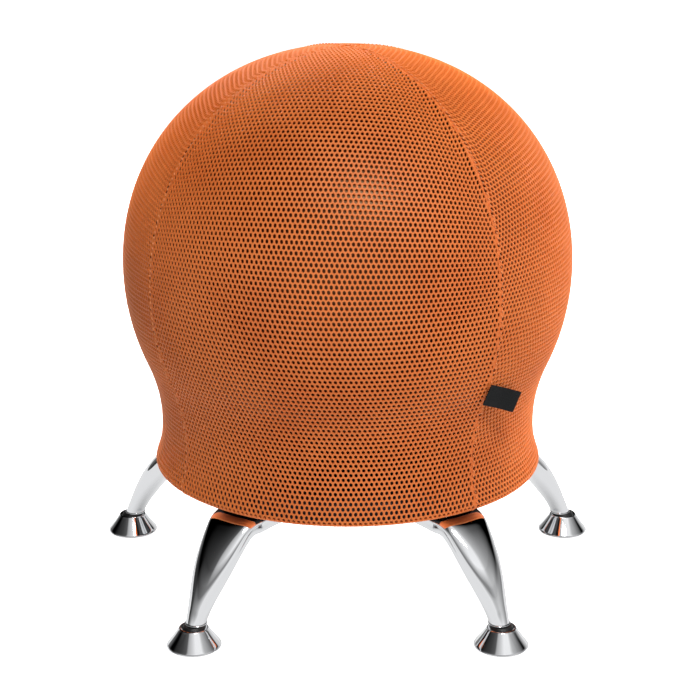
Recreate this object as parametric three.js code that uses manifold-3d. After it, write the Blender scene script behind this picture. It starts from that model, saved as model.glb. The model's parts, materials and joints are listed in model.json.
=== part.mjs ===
// Balance ball chair: an exercise ball in a fitted mesh cover, seated in a round tray
// on five curved tube legs that stand on self-levelling glides.
// Millimetres, +Z up, the front faces -Y. The origin is on the floor, under the middle of the whole chair.
import * as THREE from 'three';
import { mergeVertices } from 'three/addons/utils/BufferGeometryUtils.js';
import Module from 'manifold-3d';

const wasm = await Module();
wasm.setup();

// Whole chair
const totalHeight = 584;
const footCircleRadius = 268.3;
const legNames = ['front_right', 'right', 'rear', 'left', 'front_left'];
const legPitch = (2 * Math.PI) / legNames.length;
const firstLegAzimuth = legPitch / 2;

// Clearances
const solidGap = 0.3;
const fabricGap = 0.5;
const cutOverrun = 2;

// Ball and cover: one body curve, an oval with a fuller crown, from which every skin is inset
const equatorHeight = 352;
const coverRadius = 242.3;
const crownRise = totalHeight - equatorHeight;
const lowerRise = 246;
const crownExponent = 2.08;
const coverThickness = 2.6;
const ballWall = 2;
const valveHoleRadius = 4.8;

// Skirt of the cover, from where it leaves the ball down to the hem under the tray's rim
const skirtStartAngle = THREE.MathUtils.degToRad(118);
const waistDrawIn = 36.8;
const waistRadius = coverRadius - waistDrawIn;
const flareOut = 8.3;
const flareRadius = waistRadius + flareOut;
const skirtTangentLength = 22;
const waistTangentLength = 24;
const flareTangent = { radius: 3.8, height: 13 };
const hemBottom = 129.5;
const waistRise = 49.5;
const waistHeight = hemBottom + waistRise;
const flareRise = 4;
const flareHeight = hemBottom + flareRise;
const hemCornerRadius = 3.4;
const hemWidth = 16.8;
const hemInnerRadius = flareRadius - hemWidth;
const hemCurlRise = 8.1;
const hemCurlTop = hemBottom + hemCurlRise;
const seamAzimuths = [-57, 38.6, 132, 217].map(THREE.MathUtils.degToRad);
const seamDepth = 1.3;
const seamHalfAngle = THREE.MathUtils.degToRad(1.4);
const goreSteps = 7;
const elasticRadius = 2.3;

// Tray that holds the ball
const trayThickness = 4;
const trayHoleRadius = 27;
const trayLipAngle = THREE.MathUtils.degToRad(141);
const trayCrest = { reach: 6, rise: 4.6 };
const trayShoulder = { run: 15.2, rise: 8.5, drop: 9 };
const rimBottom = hemBottom + coverThickness + fabricGap;
const rimInset = 8;
const rimInnerRadius = flareRadius - rimInset;
const ribCountPerLeg = 2;
const ribThickness = 3;
const ribSetback = 2;
const ribOuterRadius = hemInnerRadius - ribSetback;
const bossRadius = 7.5;

// Ring plate that the legs and the tray are fastened to. The margins run from its edges to the fasteners.
const plateThickness = 4;
const plateInnerRadius = 108;
const plateWidth = 62;
const plateOuterRadius = plateInnerRadius + plateWidth;
const legBoltMargins = [14, 20];
const legBoltRadii = [plateInnerRadius + legBoltMargins[0], plateOuterRadius - legBoltMargins[1]];
const bossMargin = 22;
const bossCircleRadius = plateInnerRadius + bossMargin;
const ribMargin = 4;
const ribInnerRadius = plateInnerRadius + ribMargin;

// Legs: oval tube, a horn that thickens from the foot and runs in level under the plate
const armDrop = 16.5;
const armHeight = hemBottom - armDrop;
const armEndMargin = 22;
const armInnerRadius = legBoltRadii[0] - armEndMargin;
const armStraightMargin = 8;
const armStraightRadius = legBoltRadii[1] + armStraightMargin;
const footTilt = THREE.MathUtils.degToRad(20);
const legEndHeight = 25.8;
const footHandleLength = 58;
const bendRadius = 222;
const legWall = 2.5;
const legSides = 14;
// Half widths, half thicknesses and squareness of the tube, at shares of its curve from the foot
const legSectionShares = [0, 0.25, 0.5, 0.75, 1];
const legHalfWidths = [10.8, 16.5, 22.5, 26, 30];
const legHalfThicknesses = [10.2, 11.8, 14, 12.8, 10];
const legSquarenessShares = [2, 2, 2.1, 2.5, 4.5];
const legStationShares = [0, 0.07, 0.16, 0.26, 0.37, 0.48, 0.59, 0.71, 0.85, 1];

// Leg bolts and tray screws
const bolt = { radius: 4, headRadius: 6.6, headHeight: 5, tip: 1.8, chamfer: 0.8 };
const screw = { radius: 2.5, headRadius: 5, headHeight: 3, length: 15, chamfer: 0.5 };
const fastenerSides = 8;

// Glide: a moulded ball bolted into the foot of the tube, and a cup that tilts on it
const pivotHeight = 14;
const ballGap = 0.5;
const knuckle = { radius: 14, top: 23.7, bottom: 6.5 };
const glideBolt = {
  radius: 4, headRadius: 6.3, headHeight: 3.6, seat: -1.6, plugDepth: 17, chamfer: 0.8,
};
const plug = { depth: 20, flangeThickness: 1.5, flangeOverhang: 0.7, taperShare: 0.97 };
const cup = {
  topRadius: 15.4, baseRadius: 28.3, top: 21.5, rimBottom: 1.2, floor: 4.5, edgeRadius: 0.8, waistShare: 0.97,
};
const pad = { radius: 25.4, thickness: 3, bevel: 0.6 };
const glideSides = 20;

// Valve plug, pulled down through the hole in the tray
const valve = { shankRadius: 4.4, headRadius: 8.5, headHeight: 2.5, length: 12, bevel: 0.7 };

// Label: a folded ribbon sewn into the right-hand seam
const label = {
  length: 36, width: 19, foldThickness: 2.2, sewnThickness: 1.2, riseAboveSkirt: 20, standOff: 0.5,
};
const labelLift = THREE.MathUtils.degToRad(7);
const labelDroop = THREE.MathUtils.degToRad(21);

// The bounds are centred front to back: the rear foot reaches further than the two front ones
const rearReach = footCircleRadius + cup.baseRadius;
const frontReach = footCircleRadius * Math.cos(firstLegAzimuth) + cup.baseRadius;
const axisOffset = (frontReach - rearReach) / 2;

// Heights that follow from the sizes above
const armTop = armHeight + legHalfThicknesses.at(-1);
const armBottom = armHeight - legHalfThicknesses.at(-1);
const plateBottom = armTop + solidGap;
const plateTop = plateBottom + plateThickness;
const ballInset = coverThickness + fabricGap;
const bowlInset = ballInset - fabricGap;

const finishes = {
  mesh: { color: 0xd9733f, roughness: 0.85, metalness: 0 },
  ribbon: { color: 0x15140f, roughness: 0.8, metalness: 0 },
  elastic: { color: 0x20201e, roughness: 0.9, metalness: 0 },
  vinyl: { color: 0x5a2f16, roughness: 0.3, metalness: 0 },
  moulded: { color: 0x1b1b1d, roughness: 0.6, metalness: 0 },
  plate: { color: 0x232427, roughness: 0.5, metalness: 0.6 },
  chrome: { color: 0xd5d7da, roughness: 0.08, metalness: 1 },
  zinc: { color: 0x9fa3a8, roughness: 0.35, metalness: 1 },
  nylon: { color: 0x2a2a2c, roughness: 0.5, metalness: 0 },
};

const chair = new THREE.Group();
const chairAxis = new THREE.Group();
chairAxis.position.y = axisOffset;
chair.add(chairAxis);

function addPiece(parent, name, geometry, finish) {
  geometry.computeVertexNormals();
  const mesh = new THREE.Mesh(geometry, new THREE.MeshStandardMaterial(finishes[finish]));
  mesh.name = name;
  parent.add(mesh);
  return mesh;
}

// Joins rings of points into one closed skin. A ring of one point closes an end.
function skin(rings, looped) {
  const starts = [];
  let count = 0;
  for (const ring of rings) {
    starts.push(count);
    count += ring.length;
  }
  const index = [];
  const steps = looped ? rings.length : rings.length - 1;
  for (let i = 0; i < steps; i += 1) {
    const j = (i + 1) % rings.length;
    const sides = Math.max(rings[i].length, rings[j].length);
    for (let k = 0; k < sides; k += 1) {
      const next = (k + 1) % sides;
      const a = starts[i] + (rings[i].length > 1 ? k : 0);
      const b = starts[i] + (rings[i].length > 1 ? next : 0);
      const c = starts[j] + (rings[j].length > 1 ? next : 0);
      const d = starts[j] + (rings[j].length > 1 ? k : 0);
      if (a !== b) index.push(a, b, c);
      if (c !== d) index.push(a, c, d);
    }
  }
  const points = rings.flat();
  let volume = 0;
  for (let i = 0; i < index.length; i += 3) {
    const [p, q, r] = [points[index[i]], points[index[i + 1]], points[index[i + 2]]];
    volume += p.dot(q.clone().cross(r));
  }
  if (volume < 0) index.reverse();
  const geometry = new THREE.BufferGeometry().setFromPoints(points);
  geometry.setIndex(index);
  return geometry;
}

// A point at a radius and height, at an azimuth counted from the front (-Y) towards +X
function polar(radius, azimuth, height) {
  return new THREE.Vector3(radius * Math.sin(azimuth), -radius * Math.cos(azimuth), height);
}

function evenAzimuths(count) {
  return Array.from({ length: count }, (_, i) => (2 * Math.PI * i) / count);
}

// Spins an outline of (radius, height) points round the upright axis. An outline that starts on the
// axis also ends there; any other closes on itself. dentAt pulls single columns of a row inwards.
function spin(outline, azimuths, dentAt = () => 0) {
  const onAxis = outline[0].x === 0;
  const rings = outline.map((point, row) => (point.x === 0
    ? [polar(0, 0, point.y)]
    : azimuths.map((azimuth, column) => polar(point.x - dentAt(row, column), azimuth, point.y))));
  return skin(rings, !onAxis);
}

const at = (radius, height) => new THREE.Vector2(radius, height);

function rod(radius, bottom, top, sides) {
  return spin([at(0, bottom), at(radius, bottom), at(radius, top), at(0, top)], evenAzimuths(sides));
}

function toSolid(geometry) {
  geometry.deleteAttribute('normal');
  geometry.deleteAttribute('uv');
  const merged = mergeVertices(geometry);
  return new wasm.Manifold(new wasm.Mesh({
    numProp: 3,
    vertProperties: new Float32Array(merged.attributes.position.array),
    triVerts: new Uint32Array(merged.index.array),
  }));
}

function toGeometry(solid) {
  const mesh = solid.getMesh();
  const geometry = new THREE.BufferGeometry();
  geometry.setAttribute('position', new THREE.BufferAttribute(new Float32Array(mesh.vertProperties), 3));
  geometry.setIndex(new THREE.BufferAttribute(new Uint32Array(mesh.triVerts), 1));
  return geometry;
}

// Moves each point of an open outline to its right-hand side by a distance
function offsetOutline(points, distance) {
  return points.map((point, i) => {
    const before = points[Math.max(i - 1, 0)];
    const after = points[Math.min(i + 1, points.length - 1)];
    const along = after.clone().sub(before).normalize();
    return at(point.x + along.y * distance, point.y - along.x * distance);
  });
}

// Body curve: the angle runs from the pole (0) to the underside (PI), the inset is measured from the cover
function bodyPoint(angle, inset) {
  const upper = angle < Math.PI / 2;
  const power = upper ? 2 / crownExponent : 1;
  const rise = (upper ? crownRise : lowerRise) - inset;
  const radius = angle === 0 ? 0 : (coverRadius - inset) * Math.sin(angle) ** power;
  return at(radius, equatorHeight + Math.sign(Math.cos(angle)) * rise * Math.abs(Math.cos(angle)) ** power);
}

const degrees = (list) => list.map(THREE.MathUtils.degToRad);
const crownAngles = degrees([0, 9, 19, 29, 40, 52, 64, 77, 90, 99, 107, 113.5]).concat(skirtStartAngle);
const seatAngles = degrees([126, 133.5]).concat(trayLipAngle, degrees([148, 156, 164]));
const trayHoleAngle = Math.PI - Math.asin(trayHoleRadius / (coverRadius - bowlInset));
const valveHoleAngle = Math.PI - Math.asin(valveHoleRadius / (coverRadius - ballInset));
const innerBallAngles = degrees([0, 19, 40, 64, 90, 107, 118, 126, 141, 156]);

// Columns shared by the cover, ball and tray, with a narrow pair beside each seam
const columns = seamAzimuths.flatMap((seam, i) => {
  const nextSeam = i + 1 < seamAzimuths.length ? seamAzimuths[i + 1] : seamAzimuths[0] + 2 * Math.PI;
  const gore = nextSeam - seam;
  const inner = Array.from({ length: goreSteps - 1 }, (_, k) => seam + (gore * (k + 1)) / goreSteps);
  return [seam, seam + seamHalfAngle, ...inner, nextSeam - seamHalfAngle];
});
const seamColumn = (column) => column % (columns.length / seamAzimuths.length) === 0;

// Outer line of the skirt: a curve to the waist, a curve to the flare and a corner under the rim
function skirtOutline() {
  const start = bodyPoint(skirtStartAngle, 0);
  const above = bodyPoint(skirtStartAngle - seamHalfAngle, 0);
  const heading = start.clone().sub(above).normalize();
  const upper = new THREE.CubicBezierCurve(
    start,
    start.clone().addScaledVector(heading, skirtTangentLength),
    at(waistRadius, waistHeight + waistTangentLength),
    at(waistRadius, waistHeight),
  );
  const lower = new THREE.CubicBezierCurve(
    at(waistRadius, waistHeight),
    at(waistRadius, waistHeight - waistTangentLength),
    at(flareRadius - flareTangent.radius, flareHeight + flareTangent.height),
    at(flareRadius, flareHeight),
  );
  return { upper: upper.getPoints(4).slice(1), lower: lower.getPoints(4).slice(1) };
}

function makeCover() {
  const crown = crownAngles.map((angle) => bodyPoint(angle, 0));
  const lining = crownAngles.map((angle) => bodyPoint(angle, coverThickness));
  const skirt = skirtOutline();
  const hem = [
    at(flareRadius - hemCornerRadius / 3, hemBottom + hemCornerRadius / 3),
    at(flareRadius - hemCornerRadius, hemBottom),
    at(hemInnerRadius + coverThickness, hemBottom),
    at(hemInnerRadius, hemBottom + coverThickness),
    at(hemInnerRadius, hemCurlTop),
  ];
  const hemInside = [
    at(hemInnerRadius + coverThickness, hemCurlTop),
    at(hemInnerRadius + coverThickness, hemBottom + coverThickness),
    at(flareRadius - hemCornerRadius, hemBottom + coverThickness),
  ];
  const inside = offsetOutline([crown.at(-1), ...skirt.upper, ...skirt.lower], coverThickness).slice(1);
  inside[inside.length - 1].y = Math.max(inside.at(-1).y, flareHeight);
  const outside = [...crown, ...skirt.upper, ...skirt.lower, ...hem];
  const outline = [...outside, ...hemInside, ...inside.reverse(), ...lining.reverse()];
  const seamEnd = crown.length + skirt.upper.length + skirt.lower.length;
  const dentAt = (row, column) => (seamColumn(column) && row > 1 && row < seamEnd ? seamDepth : 0);
  return spin(outline, columns, dentAt);
}

function makeElastic() {
  const fromCorner = coverThickness + solidGap + elasticRadius;
  const middle = at(hemInnerRadius + fromCorner, hemBottom + fromCorner);
  const section = Array.from({ length: 6 }, (_, i) => {
    const turn = (Math.PI * i) / 3;
    return at(middle.x + elasticRadius * Math.cos(turn), middle.y + elasticRadius * Math.sin(turn));
  });
  return spin(section, columns);
}

function makeBall() {
  const holeAngles = [trayHoleAngle, valveHoleAngle];
  const outerAngles = [...crownAngles, ...seatAngles, ...holeAngles];
  const outside = outerAngles.map((angle) => bodyPoint(angle, ballInset));
  const inside = [...innerBallAngles, ...holeAngles].map((angle) => bodyPoint(angle, ballInset + ballWall));
  inside.at(-1).x = valveHoleRadius;
  outside.at(-1).x = valveHoleRadius;
  return spin([...outside, ...inside.reverse()], columns);
}

function makeValvePlug() {
  const seat = bodyPoint(valveHoleAngle, ballInset).y - solidGap;
  return spin([
    at(0, seat - valve.headHeight),
    at(valve.headRadius - valve.bevel, seat - valve.headHeight),
    at(valve.headRadius, seat - valve.headHeight + valve.bevel),
    at(valve.headRadius, seat),
    at(valve.shankRadius, seat),
    at(valve.shankRadius, seat + valve.length - valve.bevel),
    at(valve.shankRadius - valve.bevel, seat + valve.length),
    at(0, seat + valve.length),
  ], evenAzimuths(glideSides));
}

// Upper side of the tray from its hole to the foot of the rim
function trayTopOutline() {
  const bowl = [trayHoleAngle, ...seatAngles.filter((angle) => angle >= trayLipAngle).reverse()];
  const bowlPoints = bowl.map((angle) => bodyPoint(angle, bowlInset));
  const lip = bowlPoints.at(-1);
  const crest = at(lip.x + 2 * trayCrest.reach, lip.y + trayCrest.rise / 2);
  const peak = at(lip.x + trayCrest.reach, lip.y + trayCrest.rise);
  const lipCurve = new THREE.QuadraticBezierCurve(lip, peak, crest);
  const rim = offsetOutline(skirtOutline().lower, coverThickness + fabricGap).slice(1, -1);
  const shoulderTop = rim[0].y + trayShoulder.rise;
  const shoulder = new THREE.QuadraticBezierCurve(
    at(rim[0].x - trayShoulder.run, shoulderTop),
    at(rim[0].x, shoulderTop - trayShoulder.drop / 2),
    rim[0],
  );
  const foot = at(rim.at(-1).x, rimBottom);
  return [...bowlPoints, ...lipCurve.getPoints(3).slice(1), ...shoulder.getPoints(2), ...rim.slice(1), foot];
}

function makeTray() {
  const top = trayTopOutline();
  const underside = offsetOutline(top, trayThickness);
  const under = underside.filter((point) => point.y > rimBottom + trayThickness || point.x < ribOuterRadius);
  const outline = [...top, at(rimInnerRadius, rimBottom), ...under.reverse()];
  let tray = toSolid(spin(outline, columns));

  // Ribs run under the bowl and stand on the ring plate
  const middle = offsetOutline(top, trayThickness / 2).filter((point) => point.x < ribOuterRadius);
  const ribLine = middle.filter((point) => point.x > ribInnerRadius);
  const bossFloor = plateTop + solidGap;
  const ribFoot = [at(ribLine[0].x, bossFloor), at(ribLine.at(-1).x, bossFloor)];
  const rib = new THREE.Shape([...ribFoot, ...ribLine.slice().reverse()]);
  const ribGeometry = new THREE.ExtrudeGeometry(rib, { depth: ribThickness, bevelEnabled: false });
  ribGeometry.translate(0, 0, -ribThickness / 2);
  ribGeometry.rotateX(Math.PI / 2);
  const ribSolid = toSolid(ribGeometry);

  // Screw bosses rise into the thickness of the bowl and follow its slope
  const crestHeight = Math.max(...middle.map((point) => point.y));
  const spaceTop = crestHeight + cutOverrun;
  const bowlSpace = [at(0, middle[0].y), ...middle, at(ribOuterRadius, spaceTop), at(0, spaceTop)];
  const bossSolid = toSolid(rod(bossRadius, bossFloor, crestHeight, fastenerSides));
  const bossCut = toSolid(spin(bowlSpace, columns));
  const pilotTop = plateBottom + screw.length + cutOverrun;
  const pilot = toSolid(rod(screw.radius + solidGap, bossFloor - cutOverrun, pilotTop, fastenerSides));
  legNames.forEach((_, i) => {
    const azimuth = firstLegAzimuth + i * legPitch;
    for (let k = 0; k < ribCountPerLeg; k += 1) {
      const turn = azimuth + ((k + 0.5) / ribCountPerLeg - 0.5) * (legPitch / ribCountPerLeg);
      tray = tray.add(ribSolid.rotate([0, 0, THREE.MathUtils.radToDeg(turn) - 90]));
    }
    const boss = polar(bossCircleRadius, azimuth + legPitch / 2, 0);
    const turned = [0, 0, THREE.MathUtils.radToDeg(azimuth + legPitch / 2)];
    tray = tray.add(bossSolid.rotate(turned).translate([boss.x, boss.y, 0]).subtract(bossCut));
    tray = tray.subtract(pilot.rotate(turned).translate([boss.x, boss.y, 0]));
  });
  return toGeometry(tray);
}

function makePlate() {
  const ring = [
    at(plateInnerRadius, plateBottom),
    at(plateOuterRadius, plateBottom),
    at(plateOuterRadius, plateTop),
    at(plateInnerRadius, plateTop),
  ];
  let plate = toSolid(spin(ring, evenAzimuths(columns.length)));
  const drill = (radius, circle, azimuth) => {
    const spot = polar(circle, azimuth, 0);
    const [from, to] = [plateBottom - cutOverrun, plateTop + cutOverrun];
    const hole = toSolid(rod(radius + solidGap, from, to, fastenerSides));
    const turned = hole.rotate([0, 0, THREE.MathUtils.radToDeg(azimuth)]);
    plate = plate.subtract(turned.translate([spot.x, spot.y, 0]));
  };
  legNames.forEach((_, i) => {
    const azimuth = firstLegAzimuth + i * legPitch;
    legBoltRadii.forEach((circle) => drill(bolt.radius, circle, azimuth));
    drill(screw.radius, bossCircleRadius, azimuth + legPitch / 2);
  });
  return toGeometry(plate);
}

// A pan-headed fastener that points up, its head under the given height
function makeFastener(size, seat, tip) {
  return spin([
    at(0, seat - size.headHeight),
    at(size.headRadius - size.chamfer, seat - size.headHeight),
    at(size.headRadius, seat - size.headHeight + size.chamfer),
    at(size.headRadius, seat),
    at(size.radius, seat),
    at(size.radius, tip - size.chamfer),
    at(size.radius - size.chamfer, tip),
    at(0, tip),
  ], evenAzimuths(fastenerSides));
}

// Middle line of a leg in (radius, height): a curve up from the foot, then level to the inner end
const legEndRadius = footCircleRadius - (legEndHeight - pivotHeight) * Math.tan(footTilt);
const footAxis = at(-Math.sin(footTilt), Math.cos(footTilt));
const legEnd = at(legEndRadius, legEndHeight);
const legCurve = new THREE.CubicBezierCurve(
  legEnd,
  legEnd.clone().addScaledVector(footAxis, footHandleLength),
  at(bendRadius, armHeight),
  at(armStraightRadius, armHeight),
);

function legSectionAt(share) {
  const high = Math.max(1, legSectionShares.findIndex((place) => place >= share));
  const low = high - 1;
  const blend = (share - legSectionShares[low]) / (legSectionShares[high] - legSectionShares[low]);
  const mix = (values) => values[low] + (values[high] - values[low]) * blend;
  return {
    width: mix(legHalfWidths),
    thickness: mix(legHalfThicknesses),
    exponent: mix(legSquarenessShares),
  };
}

// One oval of the tube in the leg's own frame, where -Y points outwards
function legRing(middle, across, size, inset, stretch = 1) {
  const power = 2 / size.exponent;
  const round = (value) => Math.sign(value) * Math.abs(value) ** power;
  return evenAzimuths(legSides).map((turn) => {
    const side = (size.width - inset) * round(Math.cos(turn));
    const rise = (size.thickness - inset) * stretch * round(Math.sin(turn));
    return new THREE.Vector3(side, -(middle.x + across.x * rise), middle.y + across.y * rise);
  });
}

function legStations() {
  const curved = legStationShares.map((share) => {
    const along = legCurve.getTangent(share);
    const across = at(along.y, -along.x);
    return { middle: legCurve.getPoint(share), across, size: legSectionAt(share), stretch: 1 };
  });
  // The foot end is cut level, so its oval lies flat and is longer by the slant
  curved[0].across = at(1, 0);
  curved[0].stretch = 1 / Math.cos(footTilt);
  const inner = { ...curved.at(-1), middle: at(armInnerRadius, armHeight) };
  return [...curved, inner];
}

function makeLeg() {
  const stations = legStations();
  const outside = stations.map((s) => legRing(s.middle, s.across, s.size, 0, s.stretch));
  const inside = stations.map((s) => legRing(s.middle, s.across, s.size, legWall, s.stretch));
  let tube = toSolid(skin([...outside, ...inside.reverse()], true));
  const [from, to] = [armBottom - cutOverrun, armTop + cutOverrun];
  const hole = toSolid(rod(bolt.radius + solidGap, from, to, fastenerSides));
  legBoltRadii.forEach((circle) => {
    tube = tube.subtract(hole.translate([0, -circle, 0]));
  });
  return toGeometry(tube);
}

// The plug fills the foot of the tube; its flange shows as a lip under the tube's end
function makeLegPlug() {
  const size = legSectionAt(0);
  const flat = at(1, 0);
  const slant = 1 / Math.cos(footTilt);
  const slide = (middle, height) => middle.clone().addScaledVector(footAxis, height / footAxis.y);
  const flangeTop = slide(legEnd, -solidGap);
  const flangeBottom = slide(flangeTop, -plug.flangeThickness);
  const body = {
    width: size.width * plug.taperShare,
    thickness: size.thickness * plug.taperShare,
    exponent: size.exponent,
  };
  const rings = [
    [new THREE.Vector3(0, -flangeBottom.x, flangeBottom.y)],
    legRing(flangeBottom, flat, size, 0, slant),
    legRing(flangeTop, flat, size, -plug.flangeOverhang, slant),
    legRing(flangeTop, flat, body, legWall, slant),
    legRing(slide(legEnd, plug.depth), flat, body, legWall, slant),
  ];
  const top = slide(legEnd, plug.depth);
  rings.push([new THREE.Vector3(0, -top.x, top.y)]);
  const upright = tiltedRod(glideBolt.radius + solidGap, 0, footHandleLength);
  const bore = upright.translate([0, -footCircleRadius, 0]);
  return toGeometry(toSolid(skin(rings, false)).subtract(bore));
}

// Points on a sphere about the pivot, listed from one height to another
function ballArc(radius, fromHeight, toHeight, steps) {
  const from = Math.acos((fromHeight - pivotHeight) / radius);
  const to = Math.acos((toHeight - pivotHeight) / radius);
  return Array.from({ length: steps + 1 }, (_, i) => {
    const turn = from + ((to - from) * i) / steps;
    return at(radius * Math.sin(turn), pivotHeight + radius * Math.cos(turn));
  });
}

// Runs along the foot of the leg, through the pivot
function tiltedRod(radius, from, to) {
  const upright = toSolid(rod(radius, from, to, fastenerSides));
  return upright.rotate([-THREE.MathUtils.radToDeg(footTilt), 0, 0]).translate([0, 0, pivotHeight]);
}

// The ball under the leg: cut flat at the top, where the leg's plug sits, and at the bottom
function makeKnuckle() {
  const ball = spin([
    at(0, knuckle.bottom),
    ...ballArc(knuckle.radius, knuckle.bottom, knuckle.top, 5),
    at(0, knuckle.top),
  ], evenAzimuths(glideSides));
  const bore = tiltedRod(glideBolt.radius + solidGap, -knuckle.radius, knuckle.radius);
  const counterbore = tiltedRod(glideBolt.headRadius + solidGap, -knuckle.radius, glideBolt.seat);
  return toGeometry(toSolid(ball).subtract(bore).subtract(counterbore));
}

// Bolt that holds the ball up against the plug, about the pivot, with the shank upwards
function makeGlideBolt() {
  const reach = (legEndHeight - pivotHeight) / Math.cos(footTilt) + glideBolt.plugDepth;
  return makeFastener(glideBolt, glideBolt.seat - solidGap, reach);
}

function makeCup() {
  const recess = pad.thickness + solidGap;
  const middleHeight = (cup.top + cup.rimBottom) / 2;
  const middleRadius = ((cup.topRadius + cup.baseRadius) / 2) * cup.waistShare;
  return spin([
    at(0, recess),
    at(pad.radius + solidGap, recess),
    at(pad.radius + solidGap, cup.rimBottom),
    at(cup.baseRadius - cup.edgeRadius, cup.rimBottom),
    at(cup.baseRadius, cup.rimBottom + cup.edgeRadius),
    at(middleRadius, middleHeight),
    at(cup.topRadius, cup.top - cup.edgeRadius / 2),
    at(cup.topRadius - cup.edgeRadius / 2, cup.top),
    ...ballArc(knuckle.radius + ballGap, cup.top, cup.floor, 4),
    at(0, cup.floor),
  ], evenAzimuths(glideSides));
}

function makePad() {
  return spin([
    at(0, 0),
    at(pad.radius - pad.bevel, 0),
    at(pad.radius, pad.bevel),
    at(pad.radius, pad.thickness),
    at(0, pad.thickness),
  ], evenAzimuths(glideSides));
}

// Folded ribbon: a hairpin outline seen from above, extruded over the ribbon's width
function makeLabel() {
  const sewn = label.sewnThickness / 2;
  const fold = label.foldThickness / 2;
  const outline = new THREE.Shape();
  outline.moveTo(0, -sewn);
  outline.lineTo(label.length - fold, -fold);
  outline.absarc(label.length - fold, 0, fold, -Math.PI / 2, Math.PI / 2, false);
  outline.lineTo(0, sewn);
  outline.closePath();
  const settings = { depth: label.width, bevelEnabled: false, curveSegments: 4 };
  const geometry = new THREE.ExtrudeGeometry(outline, settings);
  geometry.translate(0, 0, -label.width / 2);
  return geometry;
}

addPiece(chairAxis, 'mesh_cover', makeCover(), 'mesh');
addPiece(chairAxis, 'hem_elastic', makeElastic(), 'elastic');
addPiece(chairAxis, 'exercise_ball', makeBall(), 'vinyl');
addPiece(chairAxis, 'valve_plug', makeValvePlug(), 'nylon');
addPiece(chairAxis, 'ball_tray', makeTray(), 'moulded');
addPiece(chairAxis, 'leg_ring_plate', makePlate(), 'plate');

// The label stands at its seam, clear of the cover by its stand-off
const labelHeight = bodyPoint(skirtStartAngle, 0).y + label.riseAboveSkirt;
const labelAngle = Math.acos((labelHeight - equatorHeight) / lowerRise);
const labelSpot = bodyPoint(labelAngle, 0);
const labelSlope = bodyPoint(labelAngle - seamHalfAngle, 0).sub(labelSpot);
const labelAzimuth = seamAzimuths[1];
const labelFrame = new THREE.Group();
const labelRadius = labelSpot.x + label.standOff + label.sewnThickness / 2;
const labelLean = Math.atan2(labelSlope.x, labelSlope.y);
labelFrame.position.copy(polar(labelRadius, labelAzimuth, labelSpot.y));
labelFrame.rotation.set(labelLean, labelDroop, labelAzimuth - labelLift, 'ZYX');
chairAxis.add(labelFrame);
addPiece(labelFrame, 'side_label', makeLabel(), 'ribbon');

legNames.forEach((name, i) => {
  const azimuth = firstLegAzimuth + i * legPitch;
  const bay = new THREE.Group();
  bay.rotation.z = azimuth;
  chairAxis.add(bay);
  addPiece(bay, `leg_${name}`, makeLeg(), 'chrome');
  legBoltRadii.forEach((circle, k) => {
    const piece = makeFastener(bolt, armBottom - solidGap, plateTop + bolt.tip);
    addPiece(bay, `leg_bolt_${name}_${k === 0 ? 'inner' : 'outer'}`, piece, 'zinc').position.y = -circle;
  });
  addPiece(bay, `leg_plug_${name}`, makeLegPlug(), 'chrome');

  const foot = new THREE.Group();
  foot.position.y = -footCircleRadius;
  bay.add(foot);
  addPiece(foot, `glide_knuckle_${name}`, makeKnuckle(), 'nylon');
  const boltPiece = addPiece(foot, `glide_bolt_${name}`, makeGlideBolt(), 'zinc');
  boltPiece.position.z = pivotHeight;
  boltPiece.rotation.x = -footTilt;
  addPiece(foot, `glide_cup_${name}`, makeCup(), 'chrome');
  addPiece(foot, `glide_pad_${name}`, makePad(), 'nylon');

  const screwBay = new THREE.Group();
  screwBay.rotation.z = azimuth + legPitch / 2;
  chairAxis.add(screwBay);
  const screwPiece = makeFastener(screw, plateBottom - solidGap, plateBottom + screw.length);
  addPiece(screwBay, `tray_screw_${i + 1}`, screwPiece, 'zinc').position.y = -bossCircleRadius;
});

export default chair;
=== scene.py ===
"""Balance ball chair: the looks of an exercise ball in a fitted mesh cover, seated on five
curved chromed legs with tilting cone glides. Metres, +Z up, the front faces -Y."""

import json
import math

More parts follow.
